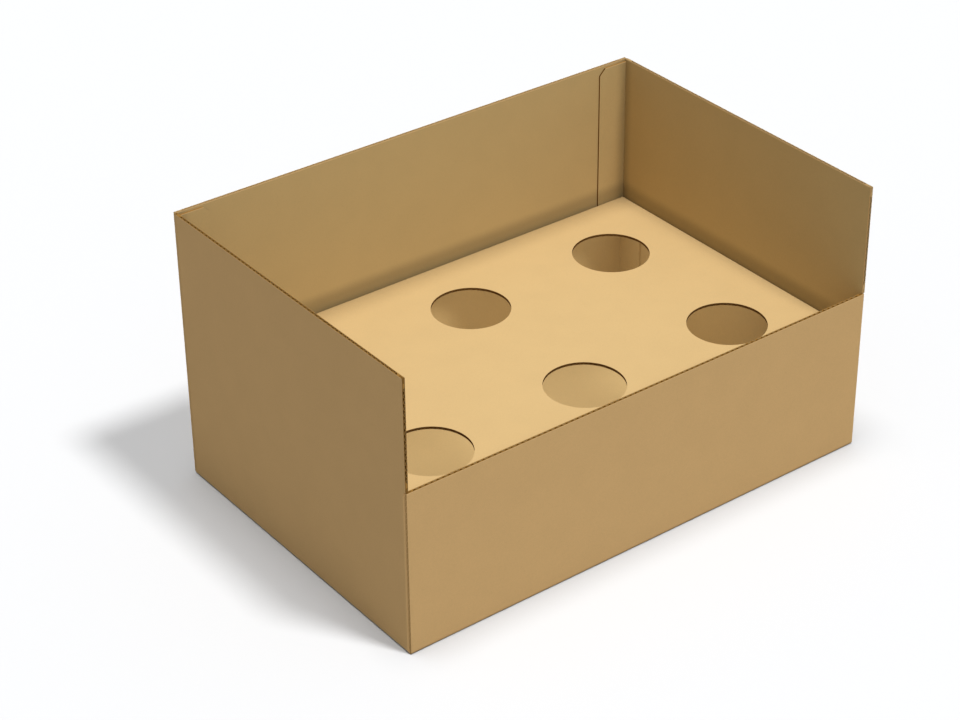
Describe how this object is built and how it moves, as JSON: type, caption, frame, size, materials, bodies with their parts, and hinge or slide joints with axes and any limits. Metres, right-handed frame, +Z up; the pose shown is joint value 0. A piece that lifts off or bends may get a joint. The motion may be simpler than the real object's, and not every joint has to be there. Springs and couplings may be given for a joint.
{
  "type": "divided display box",
  "caption": "Corrugated display tray with a low front wall, holding a loose folded shelf with rows of round holes that keep goods apart.",
  "frame": {"origin": "centre of the box's outline on the table, under the floor panel", "axes": "+Z up, -Y out of the low front wall, +X to the right as seen from the front"},
  "size_m": [0.3, 0.2, 0.16],
  "materials": {
    "kraft_board": "matte kraft liner"
  },
  "bodies": {
    "root": {"outer_tray": "kraft_board", "hole_shelf": "kraft_board"}
  },
  "joints": []
}
